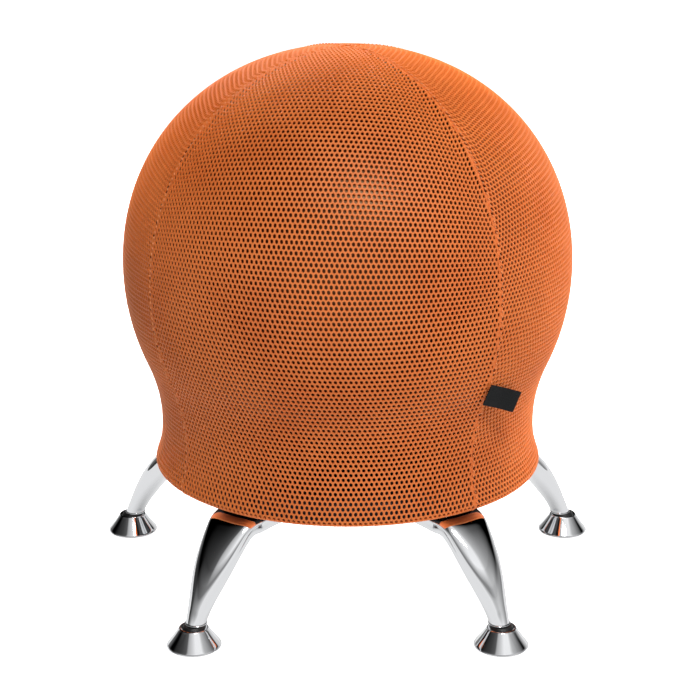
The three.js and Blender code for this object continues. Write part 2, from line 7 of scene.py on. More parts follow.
import bpy
import numpy as np
from bpy.props import FloatProperty, FloatVectorProperty, IntProperty, PointerProperty
from bpy.types import Operator, Panel, PropertyGroup
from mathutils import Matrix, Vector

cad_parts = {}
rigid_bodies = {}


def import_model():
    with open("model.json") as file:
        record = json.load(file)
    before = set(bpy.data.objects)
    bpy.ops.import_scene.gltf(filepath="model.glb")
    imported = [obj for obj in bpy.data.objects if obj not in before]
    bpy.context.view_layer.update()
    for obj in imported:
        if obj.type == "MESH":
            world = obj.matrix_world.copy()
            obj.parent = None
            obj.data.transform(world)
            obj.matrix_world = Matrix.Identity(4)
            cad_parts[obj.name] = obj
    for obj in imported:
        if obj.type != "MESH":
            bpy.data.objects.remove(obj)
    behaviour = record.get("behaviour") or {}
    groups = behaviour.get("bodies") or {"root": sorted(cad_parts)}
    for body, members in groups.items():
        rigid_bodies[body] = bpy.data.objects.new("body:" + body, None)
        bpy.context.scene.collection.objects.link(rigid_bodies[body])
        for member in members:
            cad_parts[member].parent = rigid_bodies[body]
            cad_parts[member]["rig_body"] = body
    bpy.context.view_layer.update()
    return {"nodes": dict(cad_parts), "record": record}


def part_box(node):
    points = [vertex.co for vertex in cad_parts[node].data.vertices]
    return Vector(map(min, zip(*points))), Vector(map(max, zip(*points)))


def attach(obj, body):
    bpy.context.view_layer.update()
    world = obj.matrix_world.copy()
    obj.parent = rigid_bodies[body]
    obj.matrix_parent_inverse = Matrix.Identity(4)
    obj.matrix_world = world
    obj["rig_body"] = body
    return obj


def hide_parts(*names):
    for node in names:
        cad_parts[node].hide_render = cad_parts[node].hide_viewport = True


bl_info = {
    "name": "Balance ball chair",
    "version": (1, 0, 0),
    "blender": (4, 5, 0),
    "location": "3D View > Sidebar > Ball chair",
    "description": "Builds a mesh-covered ball chair round its packed frame",
    "category": "Object",
}

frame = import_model()

MM = 0.001
LEG_NAMES = ("front_right", "right", "rear", "left", "front_left")
LEG_AZIMUTHS = np.radians((36, 108, 180, 252, 324))
SEAM_AZIMUTHS = np.radians((-55.6, 38.6, 132, 217))
GORE_NAMES = ("front", "right", "rear", "left")
# The room by direction, as three bands that add up. Each has its brightness round the chair, as (azimuth in
# degrees, brightness), and its share by height, as (sine of the elevation, share)
WALLS = (
    ((-160, 0.3), (-135, 0.15), (-112, 0.03), (-88, 0.05), (-68, 0.3))
    + ((-48, 0.75), (48, 0.8), (72, 0.45), (112, 0.2), (135, 0.6)),
    ((0.0, 1.0), (0.15, 1.0), (0.27, 0.0)),
)
UPPER_WALLS = (
    ((-95, 0.0), (-62, 0.1), (-25, 0.2), (30, 0.25), (52, 0.45), (72, 0.42), (92, 0.15), (108, 0.0)),
    ((0.13, 0.0), (0.25, 1.0), (0.36, 1.0), (0.52, 0.0)),
)
SOFT_LIGHT = (
    ((-110, 0.0), (-60, 0.05), (-36, 0.1), (-27, 0.45), (-5, 0.68))
    + ((12, 0.9), (42, 0.9), (56, 0.5), (90, 0.22), (112, 0.0)),
    ((0.33, 0.0), (0.54, 1.0), (0.90, 0.9)),
)
# The radius of the hem's corner in millimetres, and the number of points along it
HEM_CORNER, CORNER_POINTS = 3.4, 14
# Half the width and half the depth of a leg's foot in millimetres, and its lean from upright
FOOT_WIDTH, FOOT_DEPTH = 10.8, 10.2
LEG_TILT = math.radians(20)


def axis_place():
    """Where the chair's own upright axis stands: the middle of the ring plate."""
    low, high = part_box("leg_ring_plate")
    return np.array([(low.x + high.x) / 2, (low.y + high.y) / 2, 0.0])


AXIS = axis_place()


# Sizes and colours


def length(name, default, description):
    """A length property in millimetres, kept as a plain number so that the file reads as a drawing does."""
    return FloatProperty(name=name, description=description + ", in millimetres", default=default, min=0.0)


def number(name, default, description, unit="NONE"):
    """A property that is a plain number, such as a share, a strength or a power."""
    return FloatProperty(name=name, description=description, default=default, unit=unit)


def colour(name, default, description):
    """A colour property that shows as a swatch. The default is sRGB, as a hex string."""
    return FloatVectorProperty(
        name=name, description=description, subtype="COLOR", size=4, min=0, max=1, default=linear(default)
    )


def linear(hex_colour):
    """sRGB hex to linear RGBA, by the sRGB curve: below 0.04045 a straight line, above it a power of 2.4."""
    parts = [int(hex_colour[i : i + 2], 16) / 255 for i in (1, 3, 5)]
    curve = [c / 12.92 if c <= 0.04045 else ((c + 0.055) / 1.055) ** 2.4 for c in parts]
    return (*curve, 1.0)


class BallChairCover(PropertyGroup):
    radius: length("Radius", 242.3, "Radius of the cover at the ball's equator")
    height: length("Height", 584, "Height of the whole chair")
    equator: length("Equator height", 352, "Height of the widest line")
    lower_rise: length("Lower half height", 246, "Depth of the body curve under the equator")
    waist_radius: length("Waist radius", 205.5, "Radius of the skirt where it is slimmest")
    waist_height: length("Waist height", 179, "Height of the skirt's waist")
    flare_radius: length("Hem radius", 213.8, "Radius of the skirt over the tray's rim")
    flare_height: length("Flare height", 133.5, "Height where the skirt turns into the hem")
    hem_bottom: length("Hem height", 129.5, "Height of the hem over the floor")
    hole_pitch: length("Hole pitch", 4.93, "Distance between holes along a row")
    row_pitch: length("Row pitch", 5.2, "Distance between rows of holes")
    hole_width: length("Hole width", 3.2, "Width of a hole across the row")
    hole_height: length("Hole height", 4.9, "Height of a hole along the gore")
    thickness: length("Knit thickness", 1.7, "Thickness of the spacer knit")
    hole_lean: number("Hole lean", 0.06, "Sideways lean of the holes for each step down")
    row_sag: number("Row sag", 0.6, "Sag of the rows, as a share of a great circle's")
    crest: length("Crest", 0.32, "Height of the strands over the rims of the holes")
    seam_dip: length("Seam dip", 0.9, "Depth of the seams")
    seam_margin: length("Seam margin", 0.7, "Plain strip on each side of a seam")
    yarn: colour("Yarn", "#EF8341", "Colour of the knit")
    yarn_shade: colour("Yarn shade", "#D6662A", "Darker tone of the knit")
    vinyl: colour("Ball vinyl", "#552911", "Colour of the ball behind the holes")


class BallChairLegs(PropertyGroup):
    foot_circle: length("Foot circle", 268.3, "Radius of the circle through the glides")
    arm_height: length("Arm height", 113, "Height of the level part's middle line")
    end_height: length("Leg end height", 25.8, "Height of the level cut at the foot")
    wall: length("Wall", 2.5, "Wall of the tube")
    sides: IntProperty(name="Sides", description="Facets round the tube", default=72, min=12)
    steps: IntProperty(name="Steps", description="Rings along the tube", default=72, min=8)
    plating: colour("Plating", "#E6E7E9", "Colour of the chrome plating")


class BallChairGlides(PropertyGroup):
    top_radius: length("Top radius", 15.4, "Radius of the cone at its flat top")
    base_radius: length("Base radius", 28.3, "Radius of the cone over the floor")
    top: length("Top", 21.5, "Height of the cone")
    pivot: length("Pivot height", 14, "Height of the ball that the cone tilts on")
    sides: IntProperty(name="Sides", description="Facets round the cone", default=96, min=24)


class BallChairStage(PropertyGroup):
    floor: colour("Floor", "#F4F4F4", "Colour of the floor")
    floor_glow: number("Floor glow", 1.0, "Light that the white floor gives")
    card_glow: number("Card glow", 2.6, "Light of the white card under the chair")
    mirror_glow: number("Mirrored floor", 0.92, "Light of the floor in the chrome")
    front_light: number("Room light", 1.2, "Brightness of the room")
    key_power: number("Key light", 38, "Power in watts that the lamps share out", "POWER")
    focal: number("Focal length", 90.7, "Camera lens, in millimetres", "CAMERA")


# Shapes


def polar(radius, azimuth, height):
    """Points round the chair's axis: radius and height in millimetres, azimuth from the front towards +X."""
    radius, azimuth, height = np.broadcast_arrays(radius, azimuth, height)
    place = np.stack([radius * np.sin(azimuth), -radius * np.cos(azimuth), height], axis=-1)
    return place * MM + AXIS


def mesh_piece(name, points, quads, material, smooth=True, edges_in=None):
    """A mesh object from an array of points and an array of faces."""
    mesh = bpy.data.meshes.new(name)
    mesh.from_pydata(points.reshape(-1, 3).tolist(), [], quads)
    mesh.update()
    if smooth:
        mesh.shade_smooth()
    if edges_in is not None:
        mesh.set_sharp_from_angle(angle=edges_in)
    piece = bpy.data.objects.new(name, mesh)
    bpy.context.scene.collection.objects.link(piece)
    mesh.materials.append(material)
    return piece


def lay_fabric(piece, flat):
    """Keeps each point's place on the flat cloth, in metres, as the piece's UV map."""
    uv = piece.data.uv_layers.new(name="Fabric")
    loops = np.zeros(len(piece.data.loops), np.int32)
    piece.data.loops.foreach_get("vertex_index", loops)
    uv.data.foreach_set("uv", flat[loops].astype(np.float32).ravel())


def grid_faces(rows, columns, round_columns=True, round_rows=False, first=0, flip=False):
    """Quads of a grid of rows by columns, numbered row by row, that may close on itself either way."""
    r = np.arange(rows if round_rows else rows - 1)[:, None]
    c = np.arange(columns if round_columns else columns - 1)[None, :]
    r2, c2 = (r + 1) % rows, (c + 1) % columns
    corners = np.broadcast_arrays(r * columns + c, r * columns + c2, r2 * columns + c2, r2 * columns + c)
    return (np.stack(corners[::-1] if flip else corners, -1).reshape(-1, 4) + first).tolist()


def revolve(name, outline, material, sides=96, centre=AXIS, edges_in=math.radians(40)):
    """Spins an outline of (radius, height) points in millimetres round the upright through centre. An outline
    that starts and ends on the axis is closed there by a fan; any other closes on itself. It is listed from
    below up, outside first."""
    outline = np.array(outline, float)
    turn = np.linspace(0, 2 * math.pi, sides, endpoint=False)
    on_axis = outline[0, 0] == 0
    body = outline[1:-1] if on_axis else outline
    points = (polar(body[:, :1], turn, body[:, 1:]) - AXIS + centre).reshape(-1, 3)
    faces = grid_faces(len(body), sides, True, not on_axis)
    if on_axis:
        tips = np.array([[0, 0, outline[0, 1]], [0, 0, outline[-1, 1]]]) * MM + centre
        points = np.vstack([points, tips])
        low, high = len(points) - 2, len(points) - 1
        last = (len(body) - 1) * sides
        faces += [[low, (k + 1) % sides, k] for k in range(sides)]
        faces += [[high, last + k, last + (k + 1) % sides] for k in range(sides)]
    return mesh_piece(name, points, faces, material, edges_in=edges_in)


def arc(centre_x, centre_y, radius, start, end, steps):
    """Points on a circle from one angle to another, in degrees, from +X towards +Y."""
    turn = np.radians(np.linspace(start, end, steps))
    return np.stack([centre_x + radius * np.cos(turn), centre_y + radius * np.sin(turn)], -1)


def bezier(points, steps):
    """Points on a cubic curve: each coordinate blends four handles by the Bernstein weights."""
    t = np.linspace(0, 1, steps)[:, None]
    a, b, c, d = (np.array(p, float) for p in points)
    return (1 - t) ** 3 * a + 3 * (1 - t) ** 2 * t * b + 3 * (1 - t) * t**2 * c + t**3 * d


def body_curve(size, angles, inset=0.0):
    """The ball's outline: above the equator a curve whose power is 2.08, so slightly fuller than a circle,
    and below it an oval. The angle runs from the pole, and the inset is measured from the cover's outside."""
    upper = angles < math.pi / 2
    power = np.where(upper, 2 / 2.08, 1.0)
    rise = np.where(upper, size.height - size.equator, size.lower_rise) - inset
    radius = (size.radius - inset) * np.abs(np.sin(angles)) ** power
    height = size.equator + np.sign(np.cos(angles)) * rise * np.abs(np.cos(angles)) ** power
    return np.stack([radius, height], -1)


def cover_outline(size):
    """The cover from the pole to the underside of the hem: the ball's outline to 114 degrees from the pole,
    a cubic curve in to the waist, one out to the hem and the hem's rounded corner. The curves' handles are
    12 to 30 mm long."""
    crown = body_curve(size, np.radians(np.linspace(0, 114, 400)))
    heading = crown[-1] - crown[-2]
    heading /= np.linalg.norm(heading)
    waist = np.array([size.waist_radius, size.waist_height])
    flare = np.array([size.flare_radius, size.flare_height])
    upper = bezier([crown[-1], crown[-1] + 30 * heading, waist + [0, 22], waist], 60)
    lower = bezier([waist, waist - [0, 26], flare + [-HEM_CORNER, 12], flare], 60)
    middle = (size.flare_radius - HEM_CORNER, size.hem_bottom + HEM_CORNER)
    corner = arc(*middle, HEM_CORNER, 5, -86, CORNER_POINTS)
    return np.vstack([crown, upper[1:], lower[1:], corner])


class Outline:
    """The cover's outline by its own length: at(s) gives radius and height, normal(s) the way out."""

    def __init__(self, size):
        line = cover_outline(size)
        steps = np.linalg.norm(np.diff(line, axis=0), axis=1)
        self.along = np.concatenate([[0], np.cumsum(steps)])
        self.line = line
        self.total = self.along[-1]
        self.fold = self.along[-CORNER_POINTS]
        tangent = np.gradient(line, self.along, axis=0)
        tangent /= np.linalg.norm(tangent, axis=1)[:, None]
        self.out = np.stack([-tangent[:, 1], tangent[:, 0]], -1)

    def at(self, s):
        return np.stack([np.interp(s, self.along, self.line[:, k]) for k in (0, 1)], -1)

    def normal(self, s):
        n = np.stack([np.interp(s, self.along, self.out[:, k]) for k in (0, 1)], -1)
        return n / np.linalg.norm(n, axis=-1, keepdims=True)


def seam_relief(distance, dip):
    """How far the knit lies in at a seam, by the distance from it in millimetres: a bell curve for the narrow
    valley, less another for the low welt 3.4 mm beside it."""
    return dip * np.exp(-((distance / 1.5) ** 2)) - 0.5 * np.exp(-(((distance - 3.4) / 1.6) ** 2))


def gore_net(outline, size, middle, half):
    """One gore of the knit as an open net. Every hole has the six corners of a honeycomb cell round it, which
    it shares with its neighbours. From these crests the strand drops to a rim and then down the hole's wall.
    The cloth is cut flat, so over the ball its rows sag towards the seams, by the square of the distance from
    the gore's middle. What lies past the seam is drawn back onto it. It returns the points, the faces round
    the holes, the cells that have none and the points' places on the flat cloth."""
    pitch, step = size.hole_pitch, outline.total / int(outline.total / size.row_pitch)
    reach = int(size.radius * half / pitch) + 3
    rows, columns = np.arange(0, int(outline.total / step + 2.5)), np.arange(-reach, reach + 1)
    wide = len(columns)
    crown_stretch, cut_width, skirt_stretch = 0.035, 0.99, 0.08
    points, fabric = [], []

    def cloth(u, v):
        """From the flat cloth to the distance across the gore and the length down its middle. Lengthwise it
        is stretched by 3.5% at the crown and less below, and sideways from -1% there to 7% at the hem."""
        share = np.clip(v / outline.total, 0, 1)
        s = np.clip(v * (1 + crown_stretch - crown_stretch * share), 0.0, outline.total)
        x = u * (cut_width + skirt_stretch * share**2)
        spot = outline.at(s)
        over = np.maximum(spot[..., 1] - size.equator, 0)
        reached = np.minimum(np.abs(x), half * spot[..., 0])
        sag = size.row_sag * reached**2 * over / (2 * size.radius * np.maximum(spot[..., 0], 1e-6))
        return x, np.clip(s + sag, 0.0, outline.total)

    def lay(u, v, depth=0.0, margin=0.0):
        """Adds points of the cloth, at a depth in the knit and kept off the seam by a margin."""
        x, s = cloth(u, v)
        spot, out = outline.at(s), outline.normal(s)
        radius = np.maximum(spot[..., 0], 1e-6)
        edge = half * radius
        room = np.maximum(edge - margin, 0)
        x = np.clip(x, -room, room)
        inward = depth + seam_relief(edge - np.abs(x), size.seam_dip)
        spot = spot - inward[..., None] * out
        points.append(polar(spot[..., 0], middle + x / radius, spot[..., 1]).reshape(-1, 3))
        fabric.append(np.stack([u, v], -1).reshape(-1, 2))

    # Crests: an upper and a lower line of corners for each row of cells
    crest_u = (columns + 0.5 + np.where(rows % 2 == 0, 0.0, 0.5)[:, None]) * pitch
    crest_v = rows[:, None] * step + 0 * crest_u
    for shift in (-step / 3, step / 3):
        lay(crest_u, crest_v + shift)
    per_line = len(rows) * wide

    def upper(k, j):
        return k * wide + j

    def lower(k, j):
        return per_line + k * wide + j

    # Cells that have all six corners: two at the right, the foot, two at the left and the top
    k, j = np.meshgrid(np.arange(1, len(rows) - 1), np.arange(1, wide - 1), indexing="ij")
    k, j = k.ravel(), j.ravel()
    even = rows[k] % 2 == 0
    tip = np.where(even, j - 1, j)
    right, left = [upper(k, j), lower(k, j)], [lower(k, j - 1), upper(k, j - 1)]
    cells = np.stack(right + [upper(k + 1, tip)] + left + [lower(k - 1, tip)], -1)
    centre_u = (columns[j] + np.where(even, 0.0, 0.5)) * pitch
    centre_v = rows[k] * step
    centre_x, centre_s = cloth(centre_u, centre_v)
    w, h = size.hole_width / 2, size.hole_height / 2
    room = half * outline.at(centre_s)[:, 0] - np.abs(centre_x)
    clear = room > size.seam_margin + 0.3 * w
    holed = (centre_v > 2 * h) & (centre_s < outline.fold + 0.5) & clear
    near = (room > -1.2 * step) & (centre_v > -step) & (centre_v < outline.total + step)

    # Rims and walls of the holes, which lean a little with the knitting
    ring_v = np.array([-0.5, 0.5, 1, 0.5, -0.5, -1]) * h
    ring_u = np.array([w, w, 0, -w, -w, 0]) + size.hole_lean * ring_v
    loops = [cells[holed]]
    first = 2 * per_line
    for scale, depth in ((1.0, size.crest), (0.9, size.thickness)):
        u = centre_u[holed][:, None] + ring_u * scale
        v = centre_v[holed][:, None] + ring_v * scale
        lay(u, v, depth, size.seam_margin)
        loops.append(first + np.arange(u.size).reshape(-1, 6))
        first += u.size
    after = np.roll(np.arange(6), -1)
    quads = []
    for outer, inner in zip(loops, loops[1:]):
        quads.append(np.stack([outer, outer[:, after], inner[:, after], inner], -1).reshape(-1, 4))
    return np.vstack(points), np.vstack(quads), cells[~holed & near], np.vstack(fabric)


def leg_sections(t):
    """Half width, half depth and squareness of the tube: one smooth curve of the fourth power through the
    values at the foot, the quarters and the arm."""
    shares = np.linspace(0, 1, 5)
    widths, depths = (FOOT_WIDTH, 16.5, 22.5, 26, 30), (FOOT_DEPTH, 11.8, 14, 12.8, 10)
    return [np.polyval(np.polyfit(shares, table, 4), t) for table in (widths, depths, (2, 2, 2.1, 2.5, 4.5))]


def tube_end(size, glide):
    """The middle of the level cut at a leg's foot, on the line that leans in from the glide's ball."""
    inward = (size.end_height - glide.pivot) * math.tan(LEG_TILT)
    return np.array([size.foot_circle - inward, size.end_height])


def leaning(angle):
    """The way up a leg that leans in by an angle from upright."""
    return np.array([-math.sin(angle), math.cos(angle)])


def leg_surface(size, glide, inset):
    """Radius, side and height of the tube's rings, superellipses carried along two joined cubic curves: up
    from the foot at 20 degrees from upright, leaning to 45 degrees at the bend, and level under the seat.
    Towards the foot, over 9% of the length, the rings turn level, as the tube is cut. The last ring is
    carried on to the arm's inner end."""
    end, foot, slant = tube_end(size, glide), leaning(LEG_TILT), leaning(math.radians(45))
    bend, arm, arm_end = np.array([212.0, 103.5]), size.arm_height, 100
    handle, cut_share = 26, 0.09
    t = np.linspace(0, 1, size.steps)
    lower = bezier([end, end + handle * foot, bend - handle * slant, bend], 200)
    upper = bezier([bend, bend + 8 * slant, (203, arm), (190, arm)], 120)
    line = np.vstack([lower, upper[1:]])
    along = np.append(0, np.cumsum(np.linalg.norm(np.diff(line, axis=0), axis=1)))
    line = np.stack([np.interp(t * along[-1], along, line[:, k]) for k in (0, 1)], -1)
    tangent = np.gradient(line, t, axis=0)
    tangent[0] = foot
    tangent /= np.linalg.norm(tangent, axis=1)[:, None]
    across = np.stack([tangent[:, 1], -tangent[:, 0]], -1)
    cut = np.clip(1 - t / cut_share, 0, 1)[:, None]
    level = cut**2 * (3 - 2 * cut)
    across = across * (1 - level) + np.array([1.0, 0.0]) * level
    across /= np.linalg.norm(across, axis=1)[:, None]
    stretch = 1 / np.abs(across[:, 0] * tangent[:, 1] - across[:, 1] * tangent[:, 0])
    line = np.vstack([line, [(arm_end, arm)]])
    across = np.vstack([across, across[-1:]])
    stretch, width, depth, power = (np.append(v, v[-1])[:, None] for v in (stretch, *leg_sections(t)))
    turn = np.linspace(0, 2 * math.pi, size.sides, endpoint=False)
    cos, sin = (np.sign(wave) * np.abs(wave) ** (2 / power) for wave in (np.cos(turn), np.sin(turn)))
    rise = (depth - inset) * stretch * sin
    return line[:, :1] + across[:, :1] * rise, (width - inset) * cos, line[:, 1:] + across[:, 1:] * rise


def in_leg(radius, side, height, azimuth):
    """From the leg's own frame, out along its radius and to its side, to the chair."""
    x = radius * math.sin(azimuth) + side * math.cos(azimuth)
    y = -radius * math.cos(azimuth) + side * math.sin(azimuth)
    return np.stack([x, y, height], -1) * MM + AXIS


def foot_place(azimuth, size):
    """The middle of a glide on the floor."""
    return AXIS + np.array([math.sin(azimuth), -math.cos(azimuth), 0]) * size.foot_circle * MM


# Materials


def add(material, kind, settings=None, stops=(), blend="LINEAR", **links):
    """Adds a shader node. Settings go to its properties and sockets, and stops, each a place and a colour, to
    its colour ramp. Links go to sockets, named or numbered as _0, from other nodes or their outputs."""
    tree = material.node_tree
    node = tree.nodes.new("ShaderNode" + kind)
    for key, value in (settings or {}).items():
        if hasattr(node, key):
            setattr(node, key, value)
        else:
            node.inputs[int(key) if key.isdigit() else key].default_value = value
    if stops:
        node.color_ramp.interpolation = blend
        elements = node.color_ramp.elements
        while len(elements) < len(stops):
            elements.new(0.5)
        for element, (place, shade) in zip(elements, stops):
            element.position = place
            element.color = shade
    for key, source in links.items():
        key = key.replace("_", " ").strip()
        output = source if isinstance(source, bpy.types.NodeSocket) else source.outputs[0]
        tree.links.new(output, node.inputs[int(key) if key.isdigit() else key])
    return node


def new_material(name):
    """An empty node material."""
    material = bpy.data.materials.new(name)
    material.use_nodes = True
    material.node_tree.nodes.clear()
    return material


def finish_material(material, settings, **links):
    """Ends a material with its Principled shader."""
    shader = add(material, "BsdfPrincipled", settings, **links)
    add(material, "OutputMaterial", Surface=shader)
    return material


def grey(value):
    """A grey of one linear brightness, as RGBA."""
    return (value, value, value, 1.0)


def spacer_knit(size):
    """Warp-knitted polyester spacer mesh, dyed orange. Matt filament loops with a soft sheen that lights up
    the edge of the ball. The yarn lies in wales about 0.5 mm wide, drawn at 0.9 mm so that it shows close up,
    and the dye varies a little."""
    m = new_material("knitted polyester mesh")
    fabric = add(m, "UVMap", {"uv_map": "Fabric"})
    bands = {"wave_type": "BANDS", "bands_direction": "DIAGONAL", "Scale": 350.0, "Distortion": 2.0}
    wales = add(m, "TexWave", bands, Vector=fabric).outputs["Fac"]
    place = add(m, "TexCoord").outputs["Object"]
    broad = add(m, "TexNoise", {"Scale": 9.0, "Detail": 3.0, "Roughness": 0.6}, Vector=place).outputs["Fac"]
    fine = add(m, "TexNoise", {"Scale": 900.0, "Detail": 2.0}, Vector=place).outputs["Fac"]
    tone = add(m, "Math", {"operation": "MULTIPLY_ADD", "1": 0.35}, _0=wales, _2=broad)
    shade = add(m, "ValToRGB", stops=[(0.30, size.yarn_shade), (0.75, size.yarn)], Fac=tone)
    bump = add(m, "Bump", {"Strength": 0.35, "Distance": 0.00025}, Height=fine)
    sheen = {"Sheen Weight": 0.6, "Sheen Roughness": 0.3, "Sheen Tint": linear("#FF8A40")}
    settings = {"Roughness": 0.42, "IOR": 1.5, "Specular IOR Level": 0.25, **sheen}
    return finish_material(m, settings, Base_Color=shade, Normal=bump)


def hem_knit(size):
    """The hem of the cover: the same yarn in a closed knit, doubled over. A sine of the height gives its fine
    ribs, 1.5 mm apart, round the chair, and their grooves are painted darker, as painted shade."""
    m = new_material("closed polyester knit")
    place = add(m, "TexCoord").outputs["Object"]
    split = add(m, "SeparateXYZ", Vector=place)
    ribs = add(m, "Math", {"operation": "MULTIPLY", "1": 4200.0}, _0=split.outputs["Z"])
    wave = add(m, "Math", {"operation": "SINE"}, _0=ribs)
    fine = add(m, "TexNoise", {"Scale": 700.0, "Detail": 3.0}, Vector=place).outputs["Fac"]
    mix = add(m, "Math", {"operation": "MULTIPLY_ADD", "1": 0.4}, _0=wave, _2=fine)
    # Painted shade: the colour follows the ribs' height, darker in the grooves, with some tone at random from
    # the noise
    shade = add(m, "ValToRGB", stops=[(0.2, size.yarn_shade), (0.9, size.yarn)], Fac=mix)
    bump = add(m, "Bump", {"Strength": 0.5, "Distance": 0.0003}, Height=mix)
    settings = {"Roughness": 0.8, "Sheen Weight": 0.3, "Sheen Roughness": 0.45, "Specular IOR Level": 0.3}
    return finish_material(m, settings, Base_Color=shade, Normal=bump)


def ball_vinyl(size):
    """Soft PVC of the exercise ball: rotomoulded, smooth with a faint orange peel of 4 mm, so it shines where
    the light meets it."""
    m = new_material("moulded PVC")
    place = add(m, "TexCoord").outputs["Object"]
    peel = add(m, "TexNoise", {"Scale": 260.0, "Detail": 1.0}, Vector=place).outputs["Fac"]
    cloud = add(m, "TexNoise", {"Scale": 5.0, "Detail": 3.0}, Vector=place).outputs["Fac"]
    dark = (*(c * 0.7 for c in size.vinyl[:3]), 1.0)
    shade = add(m, "ValToRGB", stops=[(0.3, dark), (0.7, size.vinyl)], Fac=cloud)
    bump = add(m, "Bump", {"Strength": 0.2, "Distance": 0.0003}, Height=peel)
    settings = {"Roughness": 0.3, "IOR": 1.53, "Specular IOR Level": 0.7, "Specular Tint": linear("#F0BC8A")}
    return finish_material(m, settings, Base_Color=shade, Normal=bump)


def chrome_plating(name, tint, roughness):
    """Bright chromium over nickel on polished steel. The polish shows as faint upright lines, 0.7 mm apart,
    and the plating as a very slight waviness."""
    m = new_material(name)
    place = add(m, "TexCoord").outputs["Object"]
    stretch = add(m, "Mapping", {"Scale": (1.0, 1.0, 0.15)}, Vector=place)
    lines = add(m, "TexNoise", {"Scale": 1400.0, "Detail": 2.0}, Vector=stretch).outputs["Fac"]
    wave = add(m, "TexNoise", {"Scale": 35.0, "Detail": 1.0}, Vector=place).outputs["Fac"]
    stops = [(0.35, grey(roughness * 0.7)), (0.75, grey(roughness * 1.6))]
    polish = add(m, "ValToRGB", stops=stops, Fac=lines)
    bump = add(m, "Bump", {"Strength": 0.06, "Distance": 0.002}, Height=wave)
    return finish_material(m, {"Base Color": tint, "Metallic": 1.0}, Roughness=polish, Normal=bump)


def zinc_plate():
    """Zinc-plated steel fasteners: bluish grey with cloudy passivation, in patches of 5 mm."""
    m = new_material("zinc plated steel")
    place = add(m, "TexCoord").outputs["Object"]
    cloud = add(m, "TexNoise", {"Scale": 180.0, "Detail": 3.0}, Vector=place).outputs["Fac"]
    shade = add(m, "ValToRGB", stops=[(0.3, linear("#8F959B")), (0.7, linear("#B9BEC2"))], Fac=cloud)
    rough = add(m, "ValToRGB", stops=[(0.3, grey(0.28)), (0.7, grey(0.45))], Fac=cloud)
    return finish_material(m, {"Metallic": 1.0}, Base_Color=shade, Roughness=rough)


def moulded_plastic(name, light, dark, grain_mm, roughness):
    """Injection-moulded plastic with a spark-eroded grain of the given size."""
    m = new_material(name)
    place = add(m, "TexCoord").outputs["Object"]
    grain = add(m, "TexVoronoi", {"Scale": 1000.0 / grain_mm}, Vector=place).outputs["Distance"]
    cloud = add(m, "TexNoise", {"Scale": 14.0, "Detail": 4.0}, Vector=place).outputs["Fac"]
    shade = add(m, "ValToRGB", stops=[(0.3, linear(dark)), (0.7, linear(light))], Fac=cloud)
    stops = [(0.3, grey(roughness * 0.85)), (0.7, grey(roughness * 1.15))]
    rough = add(m, "ValToRGB", stops=stops, Fac=cloud)
    bump = add(m, "Bump", {"Strength": 0.35, "Distance": 0.0002}, Height=grain)
    return finish_material(m, {"IOR": 1.5}, Base_Color=shade, Roughness=rough, Normal=bump)


def powder_coat():
    """Black polyester powder coat on the ring plate, with its fine orange peel, drawn at 2.4 mm. Its hollows
    are painted a little darker, as painted shade.
    """
    m = new_material("powder coated steel")
    place = add(m, "TexCoord").outputs["Object"]
    peel = add(m, "TexNoise", {"Scale": 420.0, "Detail": 2.0}, Vector=place).outputs["Fac"]
    # Painted shade: the peel's noise darkens the colour where its bump is low
    shade = add(m, "ValToRGB", stops=[(0.3, linear("#1B1C1E")), (0.7, linear("#2A2B2E"))], Fac=peel)
    bump = add(m, "Bump", {"Strength": 0.4, "Distance": 0.0003}, Height=peel)
    return finish_material(m, {"Roughness": 0.42}, Base_Color=shade, Normal=bump)


def woven_ribbon():
    """Woven polyester label ribbon, near black. Its threads are 0.25 mm apart, drawn at 0.5 mm, as the
    product of a sine along the ribbon and one across it. Its raised threads are painted lighter and its
    hollows darker, as painted highlight and shade."""
    m = new_material("woven polyester ribbon")
    split = add(m, "SeparateXYZ", Vector=add(m, "UVMap", {"uv_map": "Fabric"}))
    threads = []
    for way in "XY":
        phase = add(m, "Math", {"operation": "MULTIPLY", "1": 12566.0}, _0=split.outputs[way])
        threads.append(add(m, "Math", {"operation": "SINE"}, _0=phase))
    weave = add(m, "Math", {"operation": "MULTIPLY"}, _0=threads[0], _1=threads[1])
    # Painted highlight and shade: the weave's raised threads lighter, its hollows darker
    shade = add(m, "ValToRGB", stops=[(0.0, linear("#07080A")), (1.0, linear("#15181A"))], Fac=weave)
    bump = add(m, "Bump", {"Strength": 0.5, "Distance": 0.00012}, Height=weave)
    return finish_material(m, {"Roughness": 0.65, "Specular IOR Level": 0.25}, Base_Color=shade, Normal=bump)


def sewing_thread():
    """Spun polyester thread, a little paler than the knit, with its twist."""
    m = new_material("polyester thread")
    place = add(m, "TexCoord").outputs["Object"]
    bands = {"wave_type": "BANDS", "bands_direction": "DIAGONAL", "Scale": 900.0}
    twist = add(m, "TexWave", bands, Vector=place).outputs["Fac"]
    shade = add(m, "ValToRGB", stops=[(0.2, linear("#E07A3C")), (0.8, linear("#FBAE74"))], Fac=twist)
    return finish_material(m, {"Roughness": 0.6}, Base_Color=shade)


def white_floor(size):
    """Seamless white studio paper that glows a little, as when it is lit from all sides."""
    m = new_material("studio paper")
    place = add(m, "TexCoord").outputs["Object"]
    cloud = add(m, "TexNoise", {"Scale": 3.0}, Vector=place).outputs["Fac"]
    shade = add(m, "ValToRGB", stops=[(0.3, linear("#F2F2F2")), (0.7, size.floor)], Fac=cloud)
    settings = {"Roughness": 0.9, "Emission Color": (1, 1, 1, 1), "Emission Strength": size.floor_glow}
    return finish_material(m, settings, Base_Color=shade)


